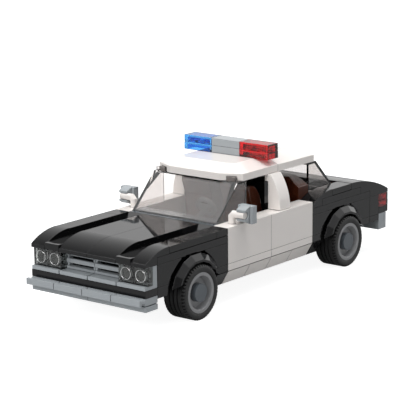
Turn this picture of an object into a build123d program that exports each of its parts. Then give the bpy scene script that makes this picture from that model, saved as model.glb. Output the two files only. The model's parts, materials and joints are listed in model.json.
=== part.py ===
from build123d import *
import math
import os

# Toy police car built from interlocking plastic bricks. Millimetres, +Z up,
# nose towards -Y, origin under the middle of the car at floor level.
# Plan places are counted in studs: x from the centre line, y from the front of the
# black nose course. Heights are counted in plate courses from the door's lower edge.

# Brick system
PITCH = 8.0          # stud spacing
PLATE = 3.2          # one plate course
CLEAR = 0.06         # moulding clearance on each upright face
BED = 0.12           # and on the top of a plate or brick
SEAM = 0.15          # wider clearance between rails and between sills
STUD_R = 2.4
STUD_H = 1.7
SOCKET_R = 2.45      # stud socket and axle hole
BAR_R = 1.6          # standard bar
GROOVE = 0.35        # lifting groove round the foot of a tile, depth and height

# Wheels
TYRE_R = 12.0
TYRE_W = 11.6
TYRE_BEAD = 0.05     # gap between tyre and rim
WHEEL_X = 30.25      # middle of the tyre from the centre line
RIM_R = TYRE_R - 3.1
RIM_LIP = 1.5        # radial width of the rim's lip
RIM_DISH = 2.8       # depth of the disc behind the lip
RIM_TAPER = 0.9      # how far the dish narrows towards the disc
RIM_INSET = 0.2      # lip behind the tyre's outer face
HUB_R = 4.0
AXLE_R = 2.4
AXLE_BLADE = 1.8     # thickness of each blade of the cross axle
AXLE_END = 0.85      # its ends behind the rims' discs
AXLE_SLOT = 0.8      # room round the axle in the chassis

# Overall lay-out
BODY_STUDS = 23      # nose course to rear panel
HALF = 4             # half width of the body, in studs
CABIN = 3            # half width of the cabin and roof, in studs
CORE = 2             # half width of the bricks between the wheels, in studs
SILL_Z = TYRE_R + 3.8   # lower edge of the doors above the floor
RAIL_REACH = 3.7     # bumper rail ahead of the nose course
RAIL_DROP = 1.05     # rail's top below the plate's
RAIL_LIP = 1.5       # thickness of the bumper rail
RAIL_WEB = 0.9       # thickness of the web that carries it
RAIL_FOOT = 0.3      # rail's lower edge above the plate's

# Stations along the car, in studs
DOOR_Y = (7, 11, 15)
PILLAR_Y = (12, 13)
ROOF_SEAM = 13
WHEEL_Y = (4, 18)

# Underside
CHASSIS_BANDS = (    # half width, y0, y1
    (CABIN, 1, 2),
    (CORE, 2, 6),
    (CABIN, 6, 16),
    (CORE, 16, 21),
    (CABIN, 21, 22),
)
SOCKET_X = 12.0      # stud sockets from the centre line
SOCKET_Y = (8.5, 14.5)
SOCKET_DEPTH = 2.0
HOLDER_FOOT = 3.6    # axle hole centre to the holder's lower edge

# Lamps and grille
LEAF = 1.6           # bracket leaf
LEAF_SEAM = 0.28     # clearance at each end of a leaf
LAMP_FACE = 1.7      # lamp front behind the nose course
LAMP_T = 3.2
LAMP_SOCKET_R = STUD_R + 0.6   # room round the stud in a head lamp
GRILLE_SLOTS = ((1.2, 2.8), (4.6, 6.0))   # lower and upper edge of each slot above the tile's foot
GRILLE_END = 1.0     # solid border at each end of a slot
GRILLE_T = 1.2       # front wall of a grille tile
GRILLE_STEP = 0.6    # the border behind the tile's face
RAMP_LIP = 0.6

# Mudguards, round the wheel centre
ARCH_BORE_R = TYRE_R + 1.0
ARCH_BARREL_R = ARCH_BORE_R + 2.0   # ring corners inside the body
ARCH_FAR_R = ARCH_BORE_R + 4.0      # corners of the flare's rear edge
ARCH_NEAR_R = ARCH_BORE_R + 1.35    # and of its outer edge
ARCH_OPEN_R = ARCH_BORE_R + 4.8     # opening in the body side
ARCH_FLANGE = 0.5                   # thickness of the flare's rear edge
ARCH_FAR_X, ARCH_NEAR_X = 33.8, 35.3   # rear and outer edge of the flare from the centre line
ARCH_CORNERS = (14, 36, 60, 79, 101, 120, 144, 166)   # degrees
ARCH_HEEL = 0.39     # rise of the ring's ends towards the wheel, as a slope
ARCH_WEB = 1.6       # wall behind the ring
PANEL_STUDS = (1, 3)   # side bricks next to a wheel opening, in studs from the wheel

# Sides
BASE_ROWS = (        # y0, y1, lower course
    (1, 2, -0.5),
    (6, 7, 0),
    (15, 16, 0),
    (20, 21, 0),
    (21, 22, 0),
)
SILL_IN = 3.6        # how far the sill leans in over its height
SILL_TOP = 0.3       # gap over the sill
DOOR_T = 3.2         # door tile thickness
TIP_DROP = 4.8       # fall of a two-stud curved slope
TAIL_DROP = 7.84     # fall of a four-stud curved slope
TAIL_STUDS = 4       # its run, in studs
TAIL_COURSES = 3     # and the courses its foot covers
BUMPER_T = 1.6       # rear bumper tile
BUMPER_INSET = 1.6   # its face ahead of the tail

# Clear lamp plates
LIGHT_PLATE = 3.45   # height of a plate of the light bar
LIGHT_Y = 12         # the light bar's front edge, in studs
LAMP_WALL = 1.5
LAMP_TOP = 1.0

# Windows and roof, distances behind the nose course
GLASS = 1.1
SCREEN_RUN = 16.0    # slanted pane, along the car
SCREEN_FLAT = 6.0    # level top of the windscreen piece
SCREEN_END = 80.0    # rear edge of the windscreen
BACKLIGHT_START = 128.0
ROOF_NOSE = SCREEN_END - 7.0
ROOF_TAIL = BACKLIGHT_START + 4.5
ROOF_CORNER = 4.7    # front corner cut, along the car
ROOF_CORNER_X = 10.0   # and across it
ROOF_SLOPE = 8.0     # sloped band round the raised middle
LUG_X = (17.7, 22.7)
LUG_Y = (1.0, 2.2)   # from the roof's front edge
LUG_Z = (-1.2, 1.9)  # from the top of the windscreen
PILLAR_FOOT = 6.8    # thickness of a pillar at the door top
PILLAR_HEAD = 1.5    # and under the roof
PILLAR_HOOK = 1.7    # reach of the pillar's head under the roof's edge

# Mirrors
MIRROR_X, MIRROR_Y, MIRROR_H = 28.0, 64.0, 4.4
MIRROR_ARM = 7.2
MIRROR_BEND = 1.2    # cut corner of the bend
CLIP_W = 4.8         # width of a mirror's clip
CLIP_REACH = 1.0     # fingers ahead of the bar axis
CLIP_TIP = 2.5       # half height over the fingers' tips
CLIP_MOUTH = 0.9     # opening between the fingers as a share of the bar
CLIP_INSET = 1.6     # bar end to the middle of the clip
CLIP_BACK = 2.2      # bar axis to the mirror plate

# Cabin, distances behind the nose course, heights in courses
DASH_REAR = DOOR_Y[0] * PITCH + 12.0
DASH_NOSE = 2.0      # how far the dashboard's edge stands proud
DASH_EDGE = 5        # height of that edge
STEER_X, STEER_Y, STEER_UP = 9.0, DASH_REAR + 3.0, 3.5   # across, along, above the door top
STEER_LEAN = -60
STEER_R = (3.3, 5.1)   # inside and outside of the ring
STEER_T = 1.4
COLUMN_R = 1.2
COLUMN_L = 8.0
SEAT_X = (3.0, 19.0)
SEAT_FRONT = DASH_REAR + 8.0
SEAT_DEPTH = 22.0
SEAT_BACK = 8.0      # thickness of the back
SEAT_TOPS = (3, 7.5, 9.5)   # cushion, foot of the back's slope, top of the back
SEAT_SLOPE = 4.0
PARTITION_X = 20.0   # half width
PARTITION_Y = SEAT_FRONT + SEAT_DEPTH + 1.0
PARTITION_T = 3.2
PARTITION_TOP = 10.4
BENCH_FRONT = PARTITION_Y + PARTITION_T + 3.8
BENCH_REAR = BACKLIGHT_START - 0.2
BENCH_BACK = 7.8     # thickness of the back
BENCH_TOPS = (3, 7.8, 9)   # cushion, ends and middle of the back
BENCH_MIDDLE = 17.0
BENCH_INSET = 4.0

Y_SHIFT = -(BODY_STUDS * PITCH - RAIL_REACH) / 2


def px(studs):
    """Distance from the centre line."""
    return studs * PITCH


def py(studs):
    """Place along the car of a stud line."""
    return studs * PITCH + Y_SHIFT


def pm(millimetres):
    """Place along the car of a distance behind the nose course."""
    return millimetres + Y_SHIFT


def pz(courses):
    """Height of a plate course."""
    return SILL_Z + courses * PLATE


def box(x0, x1, y0, y1, z0, z1):
    """Block between two corners, in millimetres."""
    return Pos((x0 + x1) / 2, (y0 + y1) / 2, (z0 + z1) / 2) * Box(x1 - x0, y1 - y0, z1 - z0)


def brick(x0, x1, y0, y1, z0, z1):
    """Block on the stud grid, with clearance to its neighbours."""
    return box(px(x0) + CLEAR, px(x1) - CLEAR, py(y0) + CLEAR, py(y1) - CLEAR, pz(z0), pz(z1) - BED)


def tile(x0, x1, y0, y1, z0, z1):
    """Flat tile: a brick with a lifting groove round its foot."""
    inset = CLEAR + GROOVE
    top = pz(z1) - BED
    foot = box(px(x0) + inset, px(x1) - inset, py(y0) + inset, py(y1) - inset, pz(z0), top)
    cap = box(px(x0) + CLEAR, px(x1) - CLEAR, py(y0) + CLEAR, py(y1) - CLEAR, pz(z0) + GROOVE, top)
    return cap + foot


def side_profile(edges, x0, x1):
    """Extrude an outline drawn along the car (y, z) across it from x0 to x1."""
    return extrude(Plane.YZ.offset(x0) * make_face(edges), amount=x1 - x0)


def cross_profile(edges, y0, y1):
    """Extrude an outline drawn across the car (x, z) along it from y0 to y1."""
    plane = Plane(origin=(0, y1, 0), x_dir=(1, 0, 0), z_dir=(0, -1, 0))
    return extrude(plane * make_face(edges), amount=y1 - y0)


def loop(points):
    """Closed straight-sided outline."""
    return Polyline(*points, close=True)


def crown(y_crown, z_crown, y_tip, drop):
    """Arc that leaves the crown level and ends lower at the tip, and its end point."""
    run = abs(y_tip - y_crown)
    way = 1 if y_tip > y_crown else -1
    radius = (run ** 2 + drop ** 2) / (2 * drop)
    half = math.asin(run / radius) / 2
    middle = (y_crown + way * radius * math.sin(half), z_crown - radius * (1 - math.cos(half)))
    return ThreePointArc((y_crown, z_crown), middle, (y_tip, z_crown - drop))


def bow(x0, x1, y_tip, y_crown, top, courses, drop):
    """Curved slope whose foot steps down one course a stud until it covers its courses."""
    way = 1 if y_tip > y_crown else -1
    tip = py(y_tip) - way * CLEAR
    back = py(y_crown) + way * CLEAR
    edges = [crown(back, pz(top), tip, drop)]
    corners = [(tip, pz(top) - drop), (tip, pz(top - courses))]
    for step in range(courses - 1, 0, -1):
        riser = py(y_crown + way * step) + way * CLEAR
        corners += [(riser, pz(top - step - 1)), (riser, pz(top - step))]
    corners += [(back, pz(top - 1)), (back, pz(top))]
    edges.append(Polyline(*corners))
    return side_profile(edges, px(x0) + CLEAR, px(x1) - CLEAR)


def both(solids):
    """The solids and their mirror images on the other side of the car."""
    return solids + [mirror(solid, about=Plane.YZ) for solid in solids]


def round_x(radius, x0, x1, y, z):
    """Round bar across the car."""
    return Pos((x0 + x1) / 2, y, z) * Rot(0, 90, 0) * Cylinder(radius, x1 - x0)


def turned(points, y, z):
    """Solid of revolution about an axle, from its outline (x, radius)."""
    return Pos(0, y, z) * revolve(make_face(loop(points)), axis=Axis.X)


def save(node, solids):
    """Write one node's solids as a STEP file."""
    export_step(Compound(label=node, children=[Solid(s.wrapped) for part in solids for s in part.solids()]),
                "parts/" + node + ".step")


def arch_face(wheel_y, radius, x):
    """Faceted outline of the wheel arch, upright at a distance from the centre line."""
    points = []
    for corner in ARCH_CORNERS:
        angle = math.radians(corner)
        points.append((py(wheel_y) + radius * math.cos(angle), TYRE_R + radius * math.sin(angle)))
    return Plane.YZ.offset(x) * make_face(loop(points))


def chassis():
    """Base plate with notches for the axle holders and stud sockets in its underside."""
    plate = None
    for half, y0, y1 in CHASSIS_BANDS:
        band = box(-px(half) + CLEAR, px(half) - CLEAR, py(y0), py(y1), pz(-1), pz(0))
        plate = band if plate is None else plate + band
    slot = AXLE_R + AXLE_SLOT
    for wheel in WHEEL_Y:
        plate -= box(-px(CABIN), px(CABIN), py(wheel) - slot, py(wheel) + slot, pz(-1), TYRE_R + slot)
        for notch in both([box(px(CORE - 1), px(CORE), py(wheel - 0.5), py(wheel + 0.5), pz(-1), pz(0))]):
            plate -= notch
    for x in (-SOCKET_X, SOCKET_X):
        for y in SOCKET_Y:
            plate -= Pos(x, py(y), pz(-1) + SOCKET_DEPTH / 2) * Cylinder(SOCKET_R, SOCKET_DEPTH)
    return [plate]


def axle_holders():
    """Bricks with an axle hole, hung through the chassis."""
    solids = []
    for wheel in WHEEL_Y:
        front, back = py(wheel - 0.5) + CLEAR, py(wheel + 0.5) - CLEAR
        holder = box(px(CORE - 1) + CLEAR, px(CORE) - CLEAR, front, back, TYRE_R - HOLDER_FOOT, pz(0) - BED)
        holder -= round_x(SOCKET_R, 0, px(CABIN), py(wheel), TYRE_R)
        solids.append(holder)
    return both(solids)


def bumper_rails():
    """Plates with a hooked rail along the front edge."""
    front, back = py(0) - RAIL_REACH, py(1) - CLEAR
    base, top = pz(-1), pz(0) - BED
    crest = top - RAIL_DROP
    lip, foot, web = front + RAIL_LIP, base + RAIL_FOOT, crest - RAIL_WEB
    outline = loop([(front, foot), (lip, foot), (lip, web), (py(0), web), (py(0), base), (back, base),
                    (back, top), (py(0), top), (py(0), crest), (front, crest)])
    return [side_profile(outline, px(x) + SEAM, px(x + 2) - SEAM) for x in (-4, -2, 0, 2)]


def lamp_brackets():
    """Brackets under the lamps and grille, those under the lamps with a rear leaf and studs."""
    solids = []
    leaf_y = pm(LAMP_FACE + LAMP_T)
    for x in (0, 2):
        left, right = px(x) + LEAF_SEAM, px(x + 2) - LEAF_SEAM
        solid = box(left, right, py(0) + CLEAR, py(1) - CLEAR, pz(1), pz(1) + LEAF)
        if x == 2:
            solid += box(left, right, leaf_y, py(1) - CLEAR, pz(1) + LEAF, pz(4))
            for stud in (x + 0.5, x + 1.5):
                stud_y = leaf_y - STUD_H / 2
                solid += Pos(px(stud), stud_y, pz(4) - PITCH / 2) * Rot(90, 0, 0) * Cylinder(STUD_R, STUD_H)
        solids.append(solid)
    return both(solids)


def head_lamps():
    """Clear square tiles pushed on to the bracket studs."""
    solids = []
    for x in (2, 3):
        lamp = box(px(x) + CLEAR, px(x + 1) - CLEAR, pm(LAMP_FACE), pm(LAMP_FACE + LAMP_T),
                   pz(1) + LEAF, pz(4))
        socket_d = STUD_H + CLEAR
        lamp -= (Pos(px(x + 0.5), pm(LAMP_FACE + LAMP_T) - socket_d / 2, pz(4) - PITCH / 2)
                 * Rot(90, 0, 0) * Cylinder(LAMP_SOCKET_R, socket_d))
        solids.append(lamp)
    return both(solids)


def grille_tiles():
    """Upright tiles between the lamps, with long slots into a hollow."""
    face, foot = pm(LAMP_FACE + LAMP_T), pz(1) + LEAF
    x0, x1 = CLEAR + GRILLE_END, px(2) - CLEAR - GRILLE_END
    solid = box(CLEAR, px(2) - CLEAR, face, py(1) - CLEAR, foot, pz(4))
    solid -= box(x0, x1, face + GRILLE_T, py(1), foot + GRILLE_SLOTS[0][0], foot + GRILLE_SLOTS[-1][1])
    for low, high in GRILLE_SLOTS:
        solid -= box(x0, x1, face, face + GRILLE_T, foot + low, foot + high)
        solid -= box(0, px(2), face, face + GRILLE_STEP, foot + low, foot + high)
    return both([solid])


def ramp(x0, x1, y0, y1, z0, z1):
    """Small slope that rises towards the rear."""
    front, back = py(y0) + CLEAR, py(y1) - CLEAR
    outline = loop([(front, pz(z0)), (back, pz(z0)), (back, pz(z1)), (front, pz(z0) + RAMP_LIP)])
    return side_profile(outline, px(x0) + CLEAR, px(x1) - CLEAR)


def arch_hole(wheel):
    """Round opening in the body side at a wheel."""
    return round_x(ARCH_OPEN_R, px(CABIN), px(HALF), py(wheel), TYRE_R)


def corner_bricks():
    """Side bricks round the wheel openings."""
    solids = [brick(CABIN, HALF, BODY_STUDS - 2, BODY_STUDS - 1, 1, 4)]
    near, far = PANEL_STUDS
    for wheel in WHEEL_Y:
        for y0, y1 in ((wheel - far, wheel - near), (wheel + near, wheel + far)):
            solids.append(brick(CABIN, HALF, y0, y1, 1, 4) - arch_hole(wheel))
    return both(solids)


def arch_heels(wheel):
    """Wedges that slant the lower ends of a mudguard's ring."""
    angle = math.radians(ARCH_CORNERS[0])
    end_y, end_z = ARCH_FAR_R * math.cos(angle), ARCH_FAR_R * math.sin(angle)
    run = ARCH_FAR_R - ARCH_BORE_R + PLATE / 2
    wedges = None
    for way in (-1, 1):
        points = [(end_y + 1, end_z - ARCH_HEEL), (end_y - run, end_z + ARCH_HEEL * run), (end_y - run, 0),
                  (end_y + 1, 0)]
        outline = loop([(py(wheel) + way * y, TYRE_R + z) for y, z in points])
        wedge = side_profile(outline, px(CABIN), ARCH_NEAR_X + 1)
        wedges = wedge if wedges is None else wedges + wedge
    return wedges


def mudguards():
    """Walls inside the wheel openings, each with a faceted ring that flares past the body."""
    solids = []
    inner = px(CABIN) + CLEAR
    foot = TYRE_R + ARCH_FAR_R * math.sin(math.radians(ARCH_CORNERS[0]))
    reach = ARCH_OPEN_R - CLEAR
    for wheel in WHEEL_Y:
        web = round_x(reach, inner, inner + ARCH_WEB, py(wheel), TYRE_R)
        web &= box(inner, inner + ARCH_WEB, py(wheel) - reach, py(wheel) + reach, foot, pz(4) - BED)
        barrel = extrude(arch_face(wheel, ARCH_BARREL_R, inner), amount=ARCH_FAR_X - inner)
        flange = extrude(arch_face(wheel, ARCH_FAR_R, ARCH_FAR_X - ARCH_FLANGE), amount=ARCH_FLANGE)
        edges = [arch_face(wheel, ARCH_FAR_R, ARCH_FAR_X), arch_face(wheel, ARCH_NEAR_R, ARCH_NEAR_X)]
        flare = loft(edges, ruled=True)
        bore = round_x(ARCH_BORE_R, inner - PLATE, ARCH_NEAR_X + PLATE, py(wheel), TYRE_R)
        solids.append(web + barrel + flange + flare - arch_heels(wheel) - bore)
    return both(solids)


def base_rows():
    """Lowest black plates along the sides, cut back round the wheel openings."""
    solids = []
    for y0, y1, low in BASE_ROWS:
        plate = brick(CABIN, HALF, y0, y1, low, 1)
        for wheel in WHEEL_Y:
            plate -= arch_hole(wheel)
        solids.append(plate)
    return both(solids)


def sill(y0, y1):
    """Side skirt that leans in towards its foot."""
    inner, outer = px(CABIN) + CLEAR, px(HALF) - CLEAR
    top = pz(0) - SILL_TOP
    outline = loop([(inner, pz(-2)), (outer - SILL_IN, pz(-2)), (outer, top), (inner, top)])
    return cross_profile(outline, py(y0) + SEAM, py(y1) - SEAM)


def door_tiles():
    """Upright white tiles that form the door skins."""
    outer = px(HALF) - CLEAR
    solids = []
    for y0, y1 in zip(DOOR_Y, DOOR_Y[1:]):
        solids.append(box(outer - DOOR_T, outer, py(y0) + CLEAR, py(y1) - CLEAR, pz(1), pz(6)))
    return both(solids)


def door_walls():
    """Inner wall of the cabin behind the door tiles."""
    outer = px(HALF) - CLEAR - DOOR_T
    return both([box(px(CABIN) + CLEAR, outer, py(DOOR_Y[0]) + CLEAR, py(DOOR_Y[-1]) - CLEAR, pz(1), pz(6))])


def window_shell(base, rise, flat, foot, head, way):
    """Clear hood with a slanted pane, two side panes and a level top, open behind and below."""
    def outline(wall, low, back):
        slant = wall * math.sqrt(1 + (rise / (head - foot)) ** 2)
        z_top = head - wall
        y_low = base + slant + (low - foot) * rise / (head - foot)
        y_top = base + slant + (z_top - foot) * rise / (head - foot)
        return [(y_low, low), (back, low), (back, z_top), (y_top, z_top)]
    end = base + rise + flat
    outer = loop([(pm(y) if way > 0 else pm(2 * base - y), z) for y, z in outline(0, foot, end)])
    inner = loop([(pm(y) if way > 0 else pm(2 * base - y), z) for y, z in outline(GLASS, foot - 1, end + 1)])
    half = px(CABIN) - CLEAR
    return side_profile(outer, -half, half) - side_profile(inner, -half + GLASS, half - GLASS)


def windscreen():
    """Windscreen with two lugs that hook the roof's front edge."""
    base = SCREEN_END - SCREEN_FLAT - SCREEN_RUN
    solid = window_shell(base, SCREEN_RUN, SCREEN_FLAT, pz(6), pz(11), 1)
    lug = box(LUG_X[0], LUG_X[1], pm(ROOF_NOSE + LUG_Y[0]), pm(ROOF_NOSE + LUG_Y[1]),
              pz(11) + LUG_Z[0], pz(11) + LUG_Z[1])
    for piece in both([lug]):
        solid += piece
    return [solid]


def rear_window():
    """Rear window, the windscreen's piece turned round."""
    base = BACKLIGHT_START + SCREEN_FLAT + SCREEN_RUN
    return [window_shell(base, SCREEN_RUN, SCREEN_FLAT, pz(6), pz(11), -1)]


def roof_half(outline, edges):
    """Roof piece: an upright rim, and a band that slopes up from some edges to a raised middle."""
    piece = extrude(Plane.XY.offset(pz(11)) * make_face(loop(outline)), amount=pz(13) - pz(11))
    for (x0, y0), (x1, y1) in edges:
        out = Vector(y1 - y0, x0 - x1, 0).normalized()
        slope = Plane(origin=(x0, y0, pz(12)), z_dir=out * PLATE + Vector(0, 0, ROOF_SLOPE))
        piece = split(piece, bisect_by=slope, keep=Keep.BOTTOM)
    return piece


def roof_front():
    """Front of the roof, with its corners cut."""
    half, seam, nose = px(CABIN) - CLEAR, py(ROOF_SEAM) - CLEAR, pm(ROOF_NOSE)
    corner, side = half - ROOF_CORNER_X, nose + ROOF_CORNER
    outline = [(-half, seam), (-half, side), (-corner, nose), (corner, nose), (half, side), (half, seam)]
    return roof_half(outline, zip(outline, outline[1:]))


def roof_rear():
    """Rear of the roof."""
    half, seam, tail = px(CABIN) - CLEAR, py(ROOF_SEAM) + CLEAR, pm(ROOF_TAIL)
    outline = [(half, seam), (half, tail), (-half, tail), (-half, seam)]
    return roof_half(outline, zip(outline, outline[1:]))


def pillars():
    """Curved pillars between the door windows."""
    inner = px(CABIN) + CLEAR
    outer, head = inner + PILLAR_FOOT, inner + PILLAR_HEAD
    rise, run = pz(11) - pz(6), outer - head
    radius = (rise ** 2 + run ** 2) / (2 * run)
    half = math.asin(rise / radius) / 2
    middle = (outer - radius * (1 - math.cos(half)), pz(6) + radius * math.sin(half))
    hook = inner - PILLAR_HOOK
    edges = [ThreePointArc((outer, pz(6)), middle, (head, pz(11))),
             Polyline((head, pz(11)), (hook, pz(11)), (hook, pz(10)), (inner, pz(10)), (inner, pz(6)),
                      (outer, pz(6)))]
    return both([cross_profile(edges, py(PILLAR_Y[0]) + CLEAR, py(PILLAR_Y[1]) - CLEAR)])


def stack(x0, x1, y0, y1, z0, height):
    """Two solid plates pressed together, with a thin seam between them."""
    base = pz(z0)
    middle, top = base + height, base + 2 * height - BED
    inset = CLEAR + GROOVE
    outline = [px(x0) + CLEAR, px(x1) - CLEAR, py(y0) + CLEAR, py(y1) - CLEAR]
    core = box(px(x0) + inset, px(x1) - inset, py(y0) + inset, py(y1) - inset, base, top)
    return box(*outline, base, middle - BED) + core + box(*outline, middle, top)


def lamp_plate(x0, x1, y0, y1, base, height, studded):
    """Clear plate, hollow underneath, with or without studs on top."""
    top = base + height - BED
    plate = box(px(x0) + CLEAR, px(x1) - CLEAR, py(y0) + CLEAR, py(y1) - CLEAR, base, top)
    plate -= box(px(x0) + LAMP_WALL, px(x1) - LAMP_WALL, py(y0) + LAMP_WALL, py(y1) - LAMP_WALL,
                 base, top - LAMP_TOP)
    if studded:
        for x in range(x0, x1):
            plate += Pos(px(x + 0.5), py(y0 + 0.5), top + STUD_H / 2) * Cylinder(STUD_R, STUD_H)
    return plate


def mirror_arms():
    """Bent bars that stand on the door tops."""
    y, z = pm(MIRROR_Y), pz(6) + MIRROR_H
    path = Polyline((MIRROR_X, y, pz(6)), (MIRROR_X, y, z - MIRROR_BEND), (MIRROR_X + MIRROR_BEND, y, z),
                    (MIRROR_X + MIRROR_ARM, y, z))
    bar = Pos(MIRROR_X, y, pz(6)) * Circle(BAR_R)
    return both([sweep(bar, path=path, transition=Transition.RIGHT)])


def mirror_clips():
    """Plates with a clip whose fingers grip the arm: the door mirrors."""
    y, z = pm(MIRROR_Y), pz(6) + MIRROR_H
    centre = MIRROR_X + MIRROR_ARM - CLIP_INSET
    grip = BAR_R + CLEAR / 2
    half, mouth = PITCH / 2 - CLEAR, CLIP_MOUTH * grip
    x0, x1 = centre - CLIP_W / 2, centre + CLIP_W / 2
    front, back = y - CLIP_REACH, y + CLIP_BACK
    wedge = [(front, z - CLIP_TIP), (back, z - half), (back, z + half), (front, z + CLIP_TIP)]
    fingers = side_profile(loop(wedge), x0, x1)
    fingers -= round_x(grip, x0, x1, y, z) + box(x0, x1, front, y, z - mouth, z + mouth)
    plate = box(centre - half, centre + half, back, back + PLATE, z - half, z + half)
    return both([fingers + plate])


def front_seats():
    """Two front seats whose backs slope at the top."""
    front, rear = pm(SEAT_FRONT), pm(SEAT_FRONT + SEAT_DEPTH)
    face = rear - SEAT_BACK
    cushion, shoulder, top = (pz(course) for course in SEAT_TOPS)
    outline = loop([(front, pz(1)), (rear, pz(1)), (rear, top), (face + SEAT_SLOPE, top), (face, shoulder),
                    (face, cushion), (front, cushion)])
    return both([side_profile(outline, SEAT_X[0], SEAT_X[1])])


def rear_seat():
    """Rear bench whose back is lower at its ends."""
    front, face, rear = pm(BENCH_FRONT), pm(BENCH_REAR - BENCH_BACK), pm(BENCH_REAR)
    half = px(CABIN) - CLEAR
    cushion, low, high = (pz(course) for course in BENCH_TOPS)
    back = cross_profile(loop([(-half, pz(1)), (half, pz(1)), (half, low), (BENCH_MIDDLE, high),
                               (-BENCH_MIDDLE, high), (-half, low)]), face, rear)
    return [back + box(-half + BENCH_INSET, half - BENCH_INSET, front, face, pz(1), cushion)]


def dashboard():
    """Dashboard across the cabin, under the windscreen's foot."""
    half, front = px(CABIN) - CLEAR, py(DOOR_Y[0]) + CLEAR
    outline = loop([(front, pz(1)), (pm(DASH_REAR - DASH_NOSE), pz(1)), (pm(DASH_REAR), pz(DASH_EDGE)),
                    (pm(DASH_REAR - DASH_NOSE), pz(6)), (front, pz(6))])
    return [side_profile(outline, -half, half)]


def steering_wheel():
    """Steering wheel whose column ends on the dashboard."""
    inside, outside = STEER_R
    wheel = Cylinder(outside, STEER_T) - Cylinder(inside, STEER_T)
    wheel += Box(2 * inside + STEER_T, STEER_T, STEER_T)
    wheel += Pos(0, 0, -COLUMN_L / 2) * Cylinder(COLUMN_R, COLUMN_L)
    placed = Pos(STEER_X, pm(STEER_Y), pz(6) + STEER_UP) * Rot(STEER_LEAN, 0, 0) * wheel
    return [placed - box(0, px(CABIN), py(DOOR_Y[0]), pm(DASH_REAR), pz(1), pz(6))]


def partition():
    """Upright screen behind the front seats."""
    front = pm(PARTITION_Y)
    return [box(-PARTITION_X, PARTITION_X, front, front + PARTITION_T, pz(1), pz(PARTITION_TOP))]


def tail_bow(x0, x1):
    """Four-stud curved slope at the rear end."""
    return bow(x0, x1, BODY_STUDS, BODY_STUDS - TAIL_STUDS, 7, TAIL_COURSES, TAIL_DROP)


def bumper_tiles():
    """Upright tiles along the tail."""
    face, foot, top = py(BODY_STUDS) - BUMPER_INSET, pz(1) - PITCH, pz(1) - BED
    return both([box(px(x) + CLEAR, px(x + 2) - CLEAR, face - BUMPER_T, face, foot, top) for x in (0, 2)])


def bumper_backing():
    """Bricks that carry the tail's upright tiles."""
    front, back = py(BODY_STUDS - 1) + CLEAR, py(BODY_STUDS) - BUMPER_INSET - BUMPER_T
    return both([box(CLEAR, px(HALF) - CLEAR, front, back, pz(1) - PITCH, pz(1) - BED)])


def axle(wheel):
    """Cross axle that ends inside the rims."""
    reach = wheel_face() - RIM_DISH - AXLE_END
    blade = box(-reach, reach, py(wheel) - AXLE_BLADE / 2, py(wheel) + AXLE_BLADE / 2,
                TYRE_R - AXLE_R, TYRE_R + AXLE_R)
    blade += box(-reach, reach, py(wheel) - AXLE_R, py(wheel) + AXLE_R,
                 TYRE_R - AXLE_BLADE / 2, TYRE_R + AXLE_BLADE / 2)
    return [blade & round_x(AXLE_R, -reach, reach, py(wheel), TYRE_R)]


def wheel_face():
    """Plane of the rim's lip and of the hub tile."""
    return WHEEL_X + TYRE_W / 2 - RIM_INSET


def rims(wheel):
    """Wheel rims with a dished face."""
    inner, outer = WHEEL_X - TYRE_W / 2 + RIM_INSET, wheel_face()
    disc = outer - RIM_DISH
    lip = RIM_R - RIM_LIP
    outline = [(inner, SOCKET_R), (inner, RIM_R), (outer, RIM_R), (outer, lip), (disc, lip - RIM_TAPER),
               (disc, SOCKET_R)]
    return both([turned(outline, py(wheel), TYRE_R)])


def tyre(wheel, side):
    """Tyre, plain: its tread is only seen, not felt."""
    half, bead = TYRE_W / 2, RIM_R + TYRE_BEAD
    outline = [(-half, bead), (-half, TYRE_R), (half, TYRE_R), (half, bead)]
    return [turned([(x + side * WHEEL_X, r) for x, r in outline], py(wheel), TYRE_R)]


def hub_tiles(wheel):
    """Round tiles on the wheel centres."""
    return both([round_x(HUB_R, wheel_face() - RIM_DISH, wheel_face(), py(wheel), TYRE_R)])


STRAIGHT = {         # node: rows of shape, mirrored, x0, x1, y0, y1, z0, z1
    "bumper_under_plates": [(brick, True, 0, 4, 0, 1, -1.87, -1.1)],
    "nose_course": [(brick, False, -4, 4, 0, 1, 0, 1)],
    "hood_plates": [(brick, True, 3, 4, 1, 7, 4, 5), (brick, True, 0, 2, 1, 7, 4, 5)],
    "hood_tiles": [(tile, True, 0, 2, 2, 6, 5, 6), (tile, True, 0, 2, 6, 7, 5, 6),
                   (tile, True, 3, 4, 2, 6, 5, 6), (tile, True, 3, 4, 6, 7, 5, 6),
                   (tile, True, 2, 3, 0, 6, 4, 5), (ramp, True, 2, 3, 6, 7, 4, 6)],
    "door_plates": [(brick, True, 3, 4, 7, 11, 0, 1), (brick, True, 3, 4, 11, 15, 0, 1)],
    "cabin_floor": [(brick, False, -3, 3, 7, 16, 0, 1)],
    "rear_lower_plates": [(brick, True, 3, 4, 15, 21, 4, 5), (brick, False, -3, 3, 16, 21, 4, 5)],
    "rear_upper_plates": [(brick, True, 3, 4, 16, 20, 5, 6), (brick, False, -3, 3, 16, 20, 5, 6)],
    "boot_tiles": [(tile, True, 3, 4, 17, 19, 6, 7)],
    "front_core": [(brick, False, -3, 3, 1, 2, 0, 4), (brick, False, -2, 2, 2, 6.75, 0, 4),
                   (brick, False, -3, 3, 6.75, 7, 0, 4)],
    "rear_core": [(brick, False, -3, 3, 16, 16.25, 0, 4), (brick, False, -2, 2, 16.25, 21, 0, 4),
                  (brick, False, -3, 3, 21, 22, 0, 4)],
    "tail_course": [(brick, False, -4, 4, 22, 23, 1, 2)],
    "tail_panel": [(brick, True, 1, 3, 22, 23, 2, 4), (brick, False, -1, 1, 22, 23, 2, 4)],
}

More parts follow.
